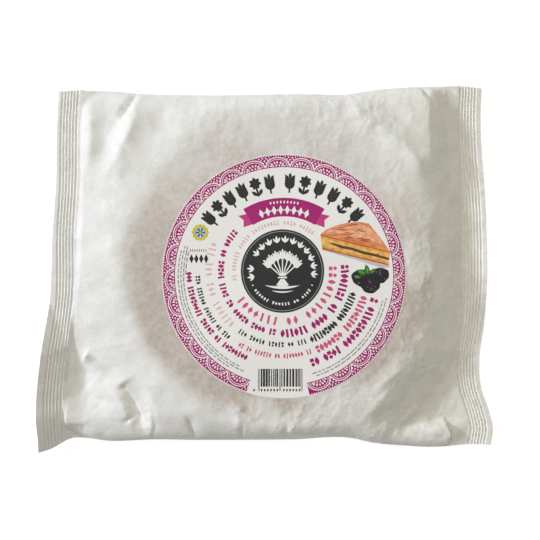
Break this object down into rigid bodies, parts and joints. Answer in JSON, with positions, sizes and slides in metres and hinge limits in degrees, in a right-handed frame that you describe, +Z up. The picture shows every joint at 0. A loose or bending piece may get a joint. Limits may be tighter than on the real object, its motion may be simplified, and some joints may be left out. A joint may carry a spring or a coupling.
{
  "type": "paper pack of butter cake",
  "caption": "Flat white paper pack, crimped shut at both ends, stretched over a round butter cake, with a round printed label on top.",
  "frame": {"origin": "on the surface that the pack lies on, under the middle of its box", "axes": "+X to the right end seal as the label is read, +Y to the back edge, the top of the label, +Z up"},
  "size_m": [0.2612, 0.2106, 0.0191],
  "materials": {
    "wrap_paper": "thin matt white wrapping paper, slightly see-through, with a fine grain and soft creases",
    "label_paper": "smooth white label paper with a slight sheen, printed in magenta, black and grey"
  },
  "bodies": {
    "root": {"pack": "wrap_paper", "label": "label_paper"}
  },
  "joints": []
}
